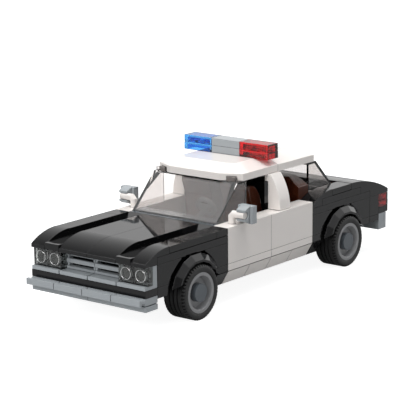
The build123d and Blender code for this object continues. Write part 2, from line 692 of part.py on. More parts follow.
os.makedirs("parts", exist_ok=True)
for node, rows in STRAIGHT.items():
    pieces = []
    for shape, paired, *place in rows:
        piece = [shape(*place)]
        pieces += both(piece) if paired else piece
    save(node, pieces)

save("chassis", chassis())
save("axle_holders", axle_holders())
save("bumper_rails", bumper_rails())
save("lamp_brackets", lamp_brackets())
save("head_lamps", head_lamps())
save("grille_tiles", grille_tiles())
save("hood_bows", both([bow(0, 2, 0, 2, 6, 2, TIP_DROP), bow(3, 4, 0, 2, 6, 2, TIP_DROP)]))
save("rear_bows", both([bow(3, 4, 15, 17, 7, 2, TIP_DROP), tail_bow(3, 4), tail_bow(1, 3)])
     + [tail_bow(-1, 1)])
save("corner_bricks", corner_bricks())
save("mudguards", mudguards())
save("base_rows", base_rows())
save("sills", both([sill(y, y + 2) for y in (7, 9, 11, 13)]))
save("sill_ends", both([sill(6, 7), sill(15, 16)]))
save("door_tiles", door_tiles())
save("door_walls", door_walls())
save("windscreen", windscreen())
save("rear_window", rear_window())
save("roof", [roof_front(), roof_rear()])
save("pillars", pillars())
save("light_middle", [stack(-1, 1, LIGHT_Y, LIGHT_Y + 1, 13, LIGHT_PLATE)])
for layer, studded in enumerate((True, False)):
    storey = ("lower", "upper")[layer]
    bar_z = pz(13) + layer * LIGHT_PLATE
    save("light_blue_" + storey, [lamp_plate(-3, -1, LIGHT_Y, LIGHT_Y + 1, bar_z, LIGHT_PLATE, studded)])
    save("light_red_" + storey, [lamp_plate(1, 3, LIGHT_Y, LIGHT_Y + 1, bar_z, LIGHT_PLATE, studded)])
    save("tail_lamps_" + storey, both([lamp_plate(3, 4, 22, 23, pz(2 + layer), PLATE, studded)]))
save("mirror_arms", mirror_arms())
save("mirror_clips", mirror_clips())
save("front_seats", front_seats())
save("rear_seat", rear_seat())
save("dashboard", dashboard())
save("steering_wheel", steering_wheel())
save("partition", partition())
save("rear_bumper_tiles", bumper_tiles())
save("rear_bumper_backing", bumper_backing())
for end, station in zip(("front", "rear"), WHEEL_Y):
    save(end + "_axle", axle(station))
    save(end + "_rims", rims(station))
    save(end + "_hub_tiles", hub_tiles(station))
    for hand, side in (("left", 1), ("right", -1)):
        save(end + "_" + hand + "_tyre", tyre(station, side))
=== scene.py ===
# %% [markdown]
# # A toy police car built from plastic bricks
# The car is about 19 cm long and stands on a white studio floor. Its bricks are exact solids that come
# in as a fixed frame. This lesson gives them their plastics and rounds their moulded edges. Tyres,
# bumper rails, mudguards and front seats are modelled anew in finer form, and the rings in the head
# lamps and the lugs of the windscreen are added. Lengths on the object are thought of in millimetres,
# and Blender's unit here is the metre, so MM turns one into the other.

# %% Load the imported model
import json
import math
import bmesh
import bpy
from mathutils import Matrix, Vector


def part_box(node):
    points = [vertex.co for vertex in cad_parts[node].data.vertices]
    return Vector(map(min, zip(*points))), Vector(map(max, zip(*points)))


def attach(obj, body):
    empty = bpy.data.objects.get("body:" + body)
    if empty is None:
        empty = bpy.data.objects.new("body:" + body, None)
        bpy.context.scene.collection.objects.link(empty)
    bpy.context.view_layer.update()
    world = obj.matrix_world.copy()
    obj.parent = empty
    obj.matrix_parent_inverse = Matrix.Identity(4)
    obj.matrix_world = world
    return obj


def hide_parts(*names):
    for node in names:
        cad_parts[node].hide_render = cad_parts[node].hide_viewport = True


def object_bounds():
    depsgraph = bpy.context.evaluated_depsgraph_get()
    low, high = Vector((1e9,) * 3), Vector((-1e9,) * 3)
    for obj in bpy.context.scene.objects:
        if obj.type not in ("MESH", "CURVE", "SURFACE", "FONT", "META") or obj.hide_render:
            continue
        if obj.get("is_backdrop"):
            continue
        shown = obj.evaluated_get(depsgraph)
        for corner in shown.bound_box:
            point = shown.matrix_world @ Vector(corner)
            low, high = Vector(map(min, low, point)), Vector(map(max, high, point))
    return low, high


MM = 0.001
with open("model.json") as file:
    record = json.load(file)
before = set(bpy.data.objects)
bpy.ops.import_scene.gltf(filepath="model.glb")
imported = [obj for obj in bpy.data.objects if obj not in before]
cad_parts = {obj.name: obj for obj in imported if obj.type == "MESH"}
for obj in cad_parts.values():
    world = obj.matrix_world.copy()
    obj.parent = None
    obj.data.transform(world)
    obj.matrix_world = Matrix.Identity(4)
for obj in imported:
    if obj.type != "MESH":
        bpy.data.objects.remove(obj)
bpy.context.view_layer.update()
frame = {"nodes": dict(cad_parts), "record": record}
nodes = frame["nodes"]

# %% [markdown]
# ## The camera
# The photograph was taken with a long lens from the car's left front, a little above bonnet height. A
# camera can be placed by eye, but here the brick grid gives its place: every stud is 8 mm from the next.
# The three axes below are the camera's right, up and back directions, the columns of its rotation.

# %% Camera from the brick grid
AZIMUTH, ELEVATION, ROLL = (math.radians(v) for v in (38.109, 12.821, -0.499))
CAMERA_PLACE = Vector((501.6, -646.79, 219.67)) * MM
FOCAL_PIXELS, FRAME_PIXELS, SENSOR_MM = 1837.31, 416, 36.0


def new_object(name, data):
    """Object that shows this data in the scene."""
    made = bpy.data.objects.new(name, data)
    bpy.context.scene.collection.objects.link(made)
    return made


back = Vector((math.sin(AZIMUTH) * math.cos(ELEVATION), -math.cos(AZIMUTH) * math.cos(ELEVATION),
               math.sin(ELEVATION)))
level_right = Vector((math.cos(AZIMUTH), math.sin(AZIMUTH), 0))
level_up = back.cross(level_right)
right = math.cos(ROLL) * level_right + math.sin(ROLL) * level_up
up = -math.sin(ROLL) * level_right + math.cos(ROLL) * level_up

camera = new_object("camera", bpy.data.cameras.new("camera"))
camera.data.sensor_width = SENSOR_MM
camera.data.lens = FOCAL_PIXELS / FRAME_PIXELS * SENSOR_MM
camera.data.clip_start, camera.data.clip_end = 0.05, 20
camera.matrix_world = Matrix.Translation(CAMERA_PLACE) @ Matrix((right, up, back)).transposed().to_4x4()
bpy.context.scene.camera = camera
bpy.context.scene.view_settings.view_transform = "Standard"
print("lens in mm", round(camera.data.lens, 1))

# %% [markdown]
# ## One helper for shader nodes
# Every material is a small graph of nodes. One function adds a node, sets its options and inputs, and
# links outputs of earlier nodes to its inputs, so that a graph reads from top to bottom. Colours are
# written as the hex values a paint program shows, and one function turns them into linear light.


# %% Node and colour helpers
def add(tree, kind, options=(), inputs=(), links=()):
    """Add a shader node: options are attributes, inputs are socket values, links are (socket, output)."""
    node = tree.nodes.new("ShaderNode" + kind)
    for key, value in dict(options).items():
        setattr(node, key, value)
    for key, value in dict(inputs).items():
        node.inputs[key].default_value = value
    for key, output in dict(links).items():
        tree.links.new(output, node.inputs[key])
    return node


def linear(code):
    """Linear colour of an sRGB hex code."""
    channels = [int(code[i:i + 2], 16) / 255 for i in (1, 3, 5)]
    return tuple(c / 12.92 if c <= 0.04045 else ((c + 0.055) / 1.055) ** 2.4 for c in channels) + (1,)


def new_material(name):
    """Empty material and its node tree."""
    material = bpy.data.materials.new(name)
    material.use_nodes = True
    material.node_tree.nodes.clear()
    return material, material.node_tree


def per(size_mm):
    """Texture scale whose pattern repeats about every size_mm."""
    return 1 / (size_mm * MM)


print("mid grey in linear light", [round(c, 3) for c in linear("#808080")])

# %% [markdown]
# ## Studio sky
# The toy was pictured on plain white. A sky that is white to every ray would light the car flatly from
# all sides and fill the black bricks with white reflections. So each kind of ray gets its own sky: white
# where the camera or a clear window looks at it, and dimmer as a lamp. Glossy bricks mirror a studio
# room: a bright wall behind the car, a pale ceiling and a dim room in front.

# %% Sky
SKY_LIGHT = 0.36                    # strength as a lamp
ROOM_START = 0.13                   # brightness of the mirrored room, to which the growth is added
ROOM_GROWTH = (0.58, 1.3, 0.56)     # how it brightens to the car's left, to its rear and upwards
ROOM_LEAST = 0.2                    # the dimmest part of the room


def kinds_of_ray(tree):
    """Sockets that are 1 for a reflection, and 1 for a look from the camera or through a clear piece."""
    path = add(tree, "LightPath")
    looked_at = add(tree, "Math", {"operation": "MAXIMUM"},
                    links={0: path.outputs["Is Camera Ray"], 1: path.outputs["Is Transmission Ray"]})
    return path.outputs["Is Glossy Ray"], looked_at.outputs[0]


world = bpy.data.worlds.new("white_studio")
world.use_nodes = True
world.node_tree.nodes.clear()
bpy.context.scene.world = world
sky = world.node_tree
lamp_sky = add(sky, "Background", inputs={"Color": linear("#f4f7fb"), "Strength": SKY_LIGHT})
white_sky = add(sky, "Background", inputs={"Color": linear("#ffffff"), "Strength": 1.0})
direction = add(sky, "TexCoord").outputs["Generated"]
growth = add(sky, "VectorMath", {"operation": "DOT_PRODUCT"}, {1: ROOM_GROWTH}, {0: direction})
slope = add(sky, "Math", {"operation": "ADD"}, {1: ROOM_START}, {0: growth.outputs["Value"]})
room = add(sky, "Math", {"operation": "MAXIMUM"}, {1: ROOM_LEAST}, {0: slope.outputs[0]})
room_sky = add(sky, "Background", inputs={"Color": linear("#ffffff")}, links={"Strength": room.outputs[0]})
reflected, looked_at = kinds_of_ray(sky)
unseen_sky = add(sky, "MixShader", links={0: reflected, 1: lamp_sky.outputs[0], 2: room_sky.outputs[0]})
whole_sky = add(sky, "MixShader", links={0: looked_at, 1: unseen_sky.outputs[0], 2: white_sky.outputs[0]})
add(sky, "OutputWorld", links={"Surface": whole_sky.outputs[0]})
print("sky strength as a lamp", SKY_LIGHT)

# %% [markdown]
# ## Paper floor
# A wide sheet of paper takes the car's soft shadow. A plain white sheet would either clip or turn grey
# away from the lamps. This one is mid grey to the lamps, which keeps the shadow, and has a glow where it
# is looked at, which brings its lit part up to the white of the sky. Reflections see little of that glow.

# %% Floor
FLOOR_REACH = 6.0          # metres from the middle to each side
FLOOR_LIFT = 0.91          # glow where the floor is looked at
FLOOR_MIRRORED = 0.06      # part of that glow that a reflection sees

shape = bmesh.new()
bmesh.ops.create_grid(shape, x_segments=1, y_segments=1, size=FLOOR_REACH)
floor = new_object("floor", bpy.data.meshes.new("floor"))
shape.to_mesh(floor.data)
shape.free()
white_paper, tree = new_material("white paper sweep")     # matt and even, so that only the shadow shows
paper = add(tree, "BsdfDiffuse", inputs={"Color": linear("#b0b0b0")})
reflected, looked_at = kinds_of_ray(tree)
mirrored = add(tree, "Math", {"operation": "MULTIPLY"}, {1: FLOOR_MIRRORED}, {0: reflected})
shown = add(tree, "Math", {"operation": "MAXIMUM"}, links={0: looked_at, 1: mirrored.outputs[0]})
lift = add(tree, "Math", {"operation": "MULTIPLY"}, {1: FLOOR_LIFT}, {0: shown.outputs[0]})
glow = add(tree, "Emission", links={"Strength": lift.outputs[0]})
total = add(tree, "AddShader", links={0: paper.outputs[0], 1: glow.outputs[0]})
add(tree, "OutputMaterial", links={"Surface": total.outputs[0]})
floor.data.materials.append(white_paper)
floor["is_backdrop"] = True
print("floor side in metres", 2 * FLOOR_REACH)

# %% [markdown]
# ## Softboxes
# Small lamps would give the glossy bricks hard spots, so the light comes from square softboxes. The top
# one is large and soft, a second one lights the nose, and a weak one stands where the windscreen
# mirrors it.

# %% Lamps
LAMPS = (            # name, place in metres, size in metres, power in watts
    ("top_softbox", (0.1, 0.0, 1.5), 1.1, 17.0),
    ("front_softbox", (0.15, -1.5, 0.9), 0.9, 12.0),
    ("windscreen_softbox", (-0.95, -0.35, 1.22), 0.8, 4.0),
)
LAMP_TARGET = Vector((0, 0, 0.03))     # the middle of the car, in metres
for name, place, size, power in LAMPS:
    lamp = new_object(name, bpy.data.lights.new(name, "AREA"))
    lamp.data.energy, lamp.data.size = power, size
    lamp.location = place
    lamp.rotation_euler = (LAMP_TARGET - lamp.location).to_track_quat("-Z", "Y").to_euler()
print("lamps", [row[0] for row in LAMPS])

# %% [markdown]
# ## Moulded ABS
# The bricks are injection-moulded ABS: a hard, glossy plastic. One flat colour would look like paint, so
# three noise textures on the object's own coordinates draw what moulding and use leave. Polished steel
# moulds leave a mirror-like skin with a very faint waviness, the plastic's flow leaves slight differences
# of tone, and handling dulls the gloss in soft patches. An occlusion node also paints shade into the
# colour within half a millimetre of other surfaces: painted shade in the hair-wide seams where two
# bricks meet, in inner corners and under edges.

# %% Moulded ABS
FLOW_MM, WAVE_MM, HANDLING_MM = 7.0, 2.6, 11.0     # size of flow marks, of waves and of dulled patches
WAVE_HIGH_MM, WAVE_STRENGTH = 0.05, 0.05
# reach and samples of the painted shade in seams, inner corners and under edges
SHADE_REACH_MM, SHADE_SAMPLES = 0.5, 8
HANDLED_FROM, HANDLED_TO = 0.35, 0.7               # noise values where dulling starts and is complete
ABS_POLISHED, ABS_DULLED = 0.03, 0.08              # roughness of the new skin and of a dulled patch
ABS_IOR = 1.45                                     # a little under ABS's 1.54, matched to the black bricks


def moulded_abs(name, code, shade):
    """Glossy moulded plastic of one colour: flow marks, waviness, handling marks and painted shade in seams.
    """
    material, tree = new_material(name)
    where = add(tree, "TexCoord").outputs["Object"]
    flow = add(tree, "TexNoise", inputs={"Scale": per(FLOW_MM), "Detail": 3.0}, links={"Vector": where})
    dark = tuple(c * (1 - shade) for c in linear(code)[:3]) + (1,)
    light = tuple(min(1, c * (1 + shade)) for c in linear(code)[:3]) + (1,)
    colour = add(tree, "Mix", {"data_type": "RGBA"}, {6: dark, 7: light}, {"Factor": flow.outputs[0]})
    # painted shade: the occlusion node darkens the colour in seams, inner corners and under edges
    painted_seam_shade = add(tree, "AmbientOcclusion", {"samples": SHADE_SAMPLES}, {"Distance": SHADE_REACH_MM * MM},
               {"Color": colour.outputs[2]})
    touch = add(tree, "TexNoise", inputs={"Scale": per(HANDLING_MM), "Detail": 4.0}, links={"Vector": where})
    rough = add(tree, "MapRange",
                inputs={"From Min": HANDLED_FROM, "From Max": HANDLED_TO,
                        "To Min": ABS_POLISHED, "To Max": ABS_DULLED},
                links={"Value": touch.outputs[0]})
    wave = add(tree, "TexNoise", inputs={"Scale": per(WAVE_MM), "Detail": 1.0}, links={"Vector": where})
    bump = add(tree, "Bump", inputs={"Strength": WAVE_STRENGTH, "Distance": WAVE_HIGH_MM * MM},
               links={"Height": wave.outputs[0]})
    shader = add(tree, "BsdfPrincipled", inputs={"IOR": ABS_IOR},
                 links={"Base Color": painted_seam_shade.outputs["Color"], "Roughness": rough.outputs[0],
                        "Normal": bump.outputs[0]})
    add(tree, "OutputMaterial", links={"Surface": shader.outputs[0]})
    return material


# A deep gloss in which the room and the edges show more than the colour does
black_abs = moulded_abs("moulded ABS, black", "#111112", shade=0.12)
# A warm white on which painted shade in the seams and under edges draws the form
white_abs = moulded_abs("moulded ABS, white", "#f1ebe6", shade=0.015)
# Cool greys, even in tone, with a soft gleam
light_grey_abs = moulded_abs("moulded ABS, light grey", "#a3a8ab", shade=0.03)
dark_grey_abs = moulded_abs("moulded ABS, dark grey", "#5b6166", shade=0.04)
# A neutral grey that stands out from the black of the tyre
rim_grey_abs = moulded_abs("moulded ABS, mid grey", "#8f8f90", shade=0.03)
# A dark warm brown that keeps its colour in the shade of the cabin
brown_abs = moulded_abs("moulded ABS, reddish brown", "#4a2416", shade=0.06)
abs_colours = (black_abs, white_abs, light_grey_abs, dark_grey_abs, rim_grey_abs, brown_abs)
print("ABS colours", [material.name for material in abs_colours])

# %% [markdown]
# ## Clear polycarbonate
# Windows and lamps are clear polycarbonate, with the mould's polish on both faces. A see-through film
# would be simpler, but these pieces are thick, so light is bent through them by a transmission shader
# with a typical index for the plastic, set lower for the windows to match their fainter reflections. The
# lamps of the light bar and the tail lamps are the same plastic with a dye in it.

# %% Clear polycarbonate
CLEAR_POLISHED, CLEAR_DULLED = 0.01, 0.04
CLEAR_WAVE_STRENGTH = 0.04
CLEAR_IOR, WINDOW_IOR = 1.58, 1.49


def clear_polycarbonate(name, code, clearness=1.0, ior=CLEAR_IOR):
    """Clear moulded plastic with a dye and faint flow lines."""
    material, tree = new_material(name)
    where = add(tree, "TexCoord").outputs["Object"]
    flow = add(tree, "TexNoise", inputs={"Scale": per(FLOW_MM), "Detail": 2.0}, links={"Vector": where})
    rough = add(tree, "MapRange", inputs={"To Min": CLEAR_POLISHED, "To Max": CLEAR_DULLED},
                links={"Value": flow.outputs[0]})
    bump = add(tree, "Bump", inputs={"Strength": CLEAR_WAVE_STRENGTH, "Distance": WAVE_HIGH_MM * MM},
               links={"Height": flow.outputs[0]})
    shader = add(tree, "BsdfPrincipled",
                 inputs={"Base Color": linear(code), "IOR": ior, "Transmission Weight": clearness},
                 links={"Roughness": rough.outputs[0], "Normal": bump.outputs[0]})
    add(tree, "OutputMaterial", links={"Surface": shader.outputs[0]})
    return material


# Clear panes that dim the cabin a little and mirror the softbox
clear_window = clear_polycarbonate("clear polycarbonate", "#e0dcda", ior=WINDOW_IOR)
# Thick lamp tiles that look a little grey, with bright edges
clear_lamp = clear_polycarbonate("clear polycarbonate, lamp", "#b2b5b2")
# A clear lug drawn mostly opaque and grey: painted shade of the dark slot behind it
painted_shade_clear = clear_polycarbonate("clear polycarbonate, shaded", "#8a827d", clearness=0.3)
# Dyed plastic of a strong colour, with small bright reflections of the lamps on it
clear_blue = clear_polycarbonate("clear polycarbonate, blue", "#4699de")
clear_red = clear_polycarbonate("clear polycarbonate, red", "#cc0a12")
deep_red = clear_polycarbonate("clear polycarbonate, deep red", "#a80a14")
clear_plastics = (clear_window, clear_lamp, painted_shade_clear, clear_blue, clear_red, deep_red)
print("clear plastics", [material.name for material in clear_plastics])

# %% [markdown]
# ## Mirrored inner edge
# Inside a clear lamp, light that meets the moulded ring at a low angle is reflected whole, as by a
# mirror. Clear plastic inside clear plastic would need many bounces to show that, so the ring is drawn
# as a mirror coat, a little uneven, so that it glints in arcs.

# %% Mirrored ring inside a clear lamp
GLINT_ROUGH = (0.02, 0.12)
clear_glint, tree = new_material("clear polycarbonate, mirrored inner edge")
where = add(tree, "TexCoord").outputs["Object"]
uneven = add(tree, "TexNoise", inputs={"Scale": per(WAVE_MM), "Detail": 2.0}, links={"Vector": where})
rough = add(tree, "MapRange", inputs={"To Min": GLINT_ROUGH[0], "To Max": GLINT_ROUGH[1]},
            links={"Value": uneven.outputs[0]})
coat = add(tree, "BsdfPrincipled", inputs={"Base Color": linear("#ffffff"), "Metallic": 1.0},
           links={"Roughness": rough.outputs[0]})
add(tree, "OutputMaterial", links={"Surface": coat.outputs[0]})
print("glint", clear_glint.name)

# %% [markdown]
# ## Tyre rubber
# The tyres are soft moulded rubber, matt black with a fine grain from the mould. A plain rough black
# would look like a hole beside the glossy bricks, so two tones in soft patches and a grain keep the
# tread's form in view.

# %% Tyre rubber
GRAIN_MM, GRAIN_HIGH_MM, GRAIN_STRENGTH = 0.35, 0.04, 0.25     # coarser than the real grain, to show
RUBBER_TONES = ("#171717", "#212121")
RUBBER_ROUGH = (0.42, 0.62)
RUBBER_IOR = 1.42
tyre_rubber, tree = new_material("moulded rubber, tyre")
where = add(tree, "TexCoord").outputs["Object"]
grain = add(tree, "TexNoise", inputs={"Scale": per(GRAIN_MM), "Detail": 3.0}, links={"Vector": where})
patch = add(tree, "TexNoise", inputs={"Scale": per(HANDLING_MM), "Detail": 3.0}, links={"Vector": where})
tone = add(tree, "Mix", {"data_type": "RGBA"}, {6: linear(RUBBER_TONES[0]), 7: linear(RUBBER_TONES[1])},
           {"Factor": patch.outputs[0]})
matt = add(tree, "MapRange", inputs={"To Min": RUBBER_ROUGH[0], "To Max": RUBBER_ROUGH[1]},
           links={"Value": patch.outputs[0]})
skin = add(tree, "Bump", inputs={"Strength": GRAIN_STRENGTH, "Distance": GRAIN_HIGH_MM * MM},
           links={"Height": grain.outputs[0]})
rubber = add(tree, "BsdfPrincipled", inputs={"IOR": RUBBER_IOR},
             links={"Base Color": tone.outputs[2], "Roughness": matt.outputs[0], "Normal": skin.outputs[0]})
add(tree, "OutputMaterial", links={"Surface": rubber.outputs[0]})
print("rubber grain in mm", GRAIN_MM)

# %% [markdown]
# ## Helpers for new pieces
# A new piece is a bmesh that operators have shaped. Most of them start from a closed ring of a few
# points, so one helper makes that ring. Another turns the finished bmesh into an object, says which body
# carries it, and hides the node it stands in for. A third gives moulded edges their small radius with a
# Bevel modifier, which leaves the mesh itself plain.

# %% Helpers for new pieces
SHARP_DEGREES = 30     # edges that bend by more than this are sharp
MERGE_MM = 0.001       # points closer than this are one


def closed_ring(shape, points):
    """Vertices at these points, and the edges that join them in a ring."""
    ring = [shape.verts.new(point) for point in points]
    return ring, [shape.edges.new(pair) for pair in zip(ring, ring[1:] + ring[:1])]


def edges_of(verts):
    """Every edge at these vertices, once each."""
    return list(dict.fromkeys(edge for vert in verts for edge in vert.link_edges))


def extrude_ring(shape, edges):
    """Extrude edges on the spot, and give the new vertices and edges."""
    grown = bmesh.ops.extrude_edge_only(shape, edges=edges)["geom"]
    verts = [item for item in grown if isinstance(item, bmesh.types.BMVert)]
    return verts, [item for item in grown if isinstance(item, bmesh.types.BMEdge)]


def close_ends(shape):
    """Fill each open end with a face."""
    bmesh.ops.holes_fill(shape, edges=[edge for edge in shape.edges if edge.is_boundary], sides=0)


def new_piece(name, shape, material, body="car", instead_of=None):
    """Turn a finished bmesh into an object that rides on a body."""
    bmesh.ops.recalc_face_normals(shape, faces=shape.faces)
    piece = new_object(name, bpy.data.meshes.new(name))
    shape.to_mesh(piece.data)
    shape.free()
    piece.data.materials.append(material)
    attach(piece, body)
    if instead_of:
        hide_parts(instead_of)
    return piece


def round_edges(piece, width_mm):
    """Bevel modifier for the small radius along every moulded edge."""
    edge = piece.modifiers.new("moulded edge", "BEVEL")
    edge.width, edge.segments, edge.limit_method = width_mm * MM, 2, "ANGLE"
    edge.angle_limit = math.radians(SHARP_DEGREES)
    edge.harden_normals = True


print("edges are sharp above", SHARP_DEGREES, "degrees")

# %% [markdown]
# ## Treaded tyres
# The frame's tyres are plain rings. A tread could be a bump in the rubber, but it breaks the tyre's
# outline, so each ring is replaced by one with real grooves. Half of its section is a short list of
# points, mirrored and spun round the axle. Three grooves run round the middle. Along both shoulders,
# three of every eight steps of the turn are lowered, which cuts the notches.

# %% Treaded tyres
BEAD_R, NOTCH_R, GROOVE_R, TREAD_R = 8.95, 11.25, 11.3, 12.0
HALF_SECTION = (     # millimetres from the tyre's middle, radius
    (5.45, BEAD_R), (5.75, 9.5), (5.8, 10.9), (5.66, 11.3), (5.5, 11.62), (5.1, TREAD_R), (4.35, TREAD_R),
    (4.2, TREAD_R), (2.45, TREAD_R), (2.4, GROOVE_R), (1.85, GROOVE_R), (1.8, TREAD_R), (0.35, TREAD_R),
    (0.3, GROOVE_R),
)
NOTCHES, STEPS, LOWERED = 48, 8, (5, 6, 7)   # notches in a turn, steps from one to the next, steps cut
SHOULDER_X, SHOULDER_R = 4.3, 11.5           # the points beyond these are lowered in a notch


def treaded_tyre(name, body):
    """Ring of rubber with grooves and notched shoulders in the place of a tyre node."""
    low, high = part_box(name)
    centre = (low + high) / 2
    section = list(HALF_SECTION) + [(-x, r) for x, r in reversed(HALF_SECTION)]
    shape = bmesh.new()
    ring, edges = closed_ring(shape, [centre + Vector((x, 0, r)) * MM for x, r in section])
    bmesh.ops.spin(shape, geom=ring + edges, cent=centre, axis=(1, 0, 0), angle=math.tau,
                   steps=NOTCHES * STEPS, use_merge=True)
    bmesh.ops.remove_doubles(shape, verts=shape.verts, dist=MERGE_MM * MM)
    for vert in shape.verts:
        place = (vert.co - centre) / MM
        radius = math.hypot(place.y, place.z)
        step = round(math.atan2(place.y, place.z) / math.tau * NOTCHES * STEPS) % STEPS
        if abs(place.x) > SHOULDER_X and radius > SHOULDER_R and step in LOWERED:
            place.yz *= NOTCH_R / radius
            vert.co = centre + place * MM
    tyre = new_piece(name + "_tread", shape, tyre_rubber, body, instead_of=name)
    tyre.data.shade_smooth()
    tyre.data.set_sharp_from_angle(angle=math.radians(SHARP_DEGREES))
    return len(tyre.data.polygons)


for end in ("front", "rear"):
    for hand in ("left", "right"):
        print(end, hand, treaded_tyre(end + "_" + hand + "_tyre", end + "_wheelset"), "faces")

# %% [markdown]
# ## Bumper rails
# The front bumper is a row of four plates, each with a rail hooked along its front edge. The rail stands
# as high as the plate, with a narrow groove behind it and an open hook below, and that line of shadow is
# what draws the bumper. Boxes set side by side would leave seams in each plate, so its side outline is a
# short list of points, extruded across the car.

# %% Hooked rails
RAIL_THICK, RAIL_REACH, RAIL_FOOT = 1.4, 3.7, 0.3    # rail, front to plate, rail above the plate's foot
WEB_LOW, WEB_GROOVE = 1.3, 0.45                      # web above the plate's foot, and below its top
RAIL_COUNT, RAIL_SEAM, RAIL_EDGE = 4, 0.3, 0.12      # plates, gap between them, radius of their edges


def extrude_outline(shape, outline, x_from, x_to):
    """Grow a side outline of (y, z) points across the car and close both ends."""
    edges = closed_ring(shape, [(x_from, y, z) for y, z in outline])[1]
    moved = extrude_ring(shape, edges)[0]
    bmesh.ops.translate(shape, verts=moved, vec=(x_to - x_from, 0, 0))
    close_ends(shape)


low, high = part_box("bumper_rails")
lip, plate = low.y + RAIL_THICK * MM, low.y + RAIL_REACH * MM
rail_foot = low.z + RAIL_FOOT * MM
web_low, web_high = low.z + WEB_LOW * MM, high.z - WEB_GROOVE * MM
rail_outline = (
    (low.y, rail_foot), (lip, rail_foot), (lip, web_low), (plate, web_low), (plate, low.z),
    (high.y, low.z), (high.y, high.z), (plate, high.z), (plate, web_high), (lip, web_high),
    (lip, high.z), (low.y, high.z),
)
rail_pitch = (high.x - low.x + RAIL_SEAM * MM) / RAIL_COUNT
shape = bmesh.new()
for i in range(RAIL_COUNT):
    start = low.x + i * rail_pitch
    extrude_outline(shape, rail_outline, start, start + rail_pitch - RAIL_SEAM * MM)
rails = new_piece("hooked_bumper_rails", shape, light_grey_abs, instead_of="bumper_rails")
round_edges(rails, RAIL_EDGE)
print("rails", RAIL_COUNT, "one every", round(rail_pitch / MM, 1), "mm")

# %% [markdown]
# ## Mudguards
# Each wheel opening holds a black ring that flares past the body side in flat facets. A spin would give
# it equal steps, but its facets differ in width. So its section, a short list of points in the plane of
# the axle, is extruded and turned about the axle to each corner in turn, which keeps every facet flat,
# and a slanting cut ends the ring above the road.

# %% Faceted mudguards
GUARD_SECTION = (    # millimetres from the centre line, radius about the axle
    (24.1, 13.3), (24.1, 16.6), (25.66, 16.6), (25.66, 15.0), (33.0, 15.0), (33.0, 16.8), (33.2, 16.8),
    (35.3, 14.35), (35.3, 13.3),
)
GUARD_CORNERS = (14, 36, 60, 79, 101, 120, 144, 166)         # degrees from the rear, over the top
HEEL_FAR, HEEL_NEAR = (16.4, 4.2), (11.3, 6.2)               # line of the slanting cut, from the axle
GUARD_EDGE = 0.08


def faceted_guard(shape, centre, side):
    """One mudguard ring on the left (1) or right (-1) side of the car."""
    guard = bmesh.new()
    turn = Matrix.Rotation(math.radians(GUARD_CORNERS[0]), 3, "X")
    axle = Vector((0, centre.y, centre.z))
    edges = closed_ring(guard, [axle + turn @ Vector((x, r, 0)) * MM for x, r in GUARD_SECTION])[1]
    for here, there in zip(GUARD_CORNERS, GUARD_CORNERS[1:]):
        moved, edges = extrude_ring(guard, edges)
        facet = Matrix.Rotation(math.radians(there - here), 3, "X")
        bmesh.ops.rotate(guard, verts=moved, cent=axle, matrix=facet)
    for way in (-1, 1):
        far = Vector((0, way * HEEL_FAR[0], HEEL_FAR[1]))
        run = Vector((0, way * HEEL_NEAR[0], HEEL_NEAR[1])) - far
        upward = Vector((0, way * run.z, abs(run.y))).normalized()
        half = {vert for vert in guard.verts if way * (vert.co.y - axle.y) > 0}
        joined = [item for item in guard.edges[:] + guard.faces[:] if half.issuperset(item.verts)]
        bmesh.ops.bisect_plane(guard, geom=list(half) + joined, dist=MERGE_MM * MM,
                               plane_co=axle + far * MM, plane_no=upward, clear_inner=True)
    close_ends(guard)
    bmesh.ops.scale(guard, vec=(side, 1, 1), verts=guard.verts)
    bmesh.ops.recalc_face_normals(guard, faces=guard.faces)
    copy = bpy.data.meshes.new("guard")
    guard.to_mesh(copy)
    guard.free()
    shape.from_mesh(copy)
    bpy.data.meshes.remove(copy)


shape = bmesh.new()
for end in ("front", "rear"):
    for hand, side in (("left", 1), ("right", -1)):
        low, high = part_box(end + "_" + hand + "_tyre")
        faceted_guard(shape, (low + high) / 2, side)
guards = new_piece("faceted_mudguards", shape, black_abs, instead_of="mudguards")
round_edges(guards, GUARD_EDGE)
print("mudguard faces", len(guards.data.polygons))

# %% [markdown]
# ## Head-lamp rings
# Each head lamp is a clear tile pushed on to a stud. The moulded ring round the stud's socket shows
# through the tile as a circle of glints, because light that meets it at a low angle is thrown back whole.
# A picture of a circle would not glint, so a thin ring is spun from a small circle at each lamp's face.

# %% Head-lamp rings
STUD_PITCH = 8.0                         # millimetres from one stud to the next
LAMP_STUDS = (-3.5, -2.5, 2.5, 3.5)      # places of the lamps across the car, in studs
LAMP_DROP = 4.0                          # middle of a lamp below the lamps' top
GLINT_R, GLINT_THICK = 2.6, 0.13         # radius of the ring, and of the circle it is spun from
GLINT_SIDES, GLINT_STEPS = 8, 32
low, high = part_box("head_lamps")
shape = bmesh.new()
for studs in LAMP_STUDS:
    centre = Vector((studs * STUD_PITCH * MM, low.y, high.z - LAMP_DROP * MM))
    spot = Matrix.Translation(centre + Vector((GLINT_R * MM, 0, 0)))
    circle = bmesh.ops.create_circle(shape, segments=GLINT_SIDES, radius=GLINT_THICK * MM, matrix=spot)
    bmesh.ops.spin(shape, geom=circle["verts"] + edges_of(circle["verts"]), cent=centre, axis=(0, 1, 0),
                   angle=math.tau, steps=GLINT_STEPS, use_merge=True)
bmesh.ops.remove_doubles(shape, verts=shape.verts, dist=MERGE_MM * MM)
lamp_rings = new_piece("head_lamp_rings", shape, clear_glint)
lamp_rings.data.shade_smooth()
print("ring faces", len(lamp_rings.data.polygons))

# %% [markdown]
# ## Front seats
# Through the side window each front seat shows a curved back: its rear face falls away in a bow and its
# front face leans with it. A bent box would lose the flat cushion, so the whole side outline is drawn, in
# millimetres from the seat's front lower corner, and extruded to the width of the seat's solid.

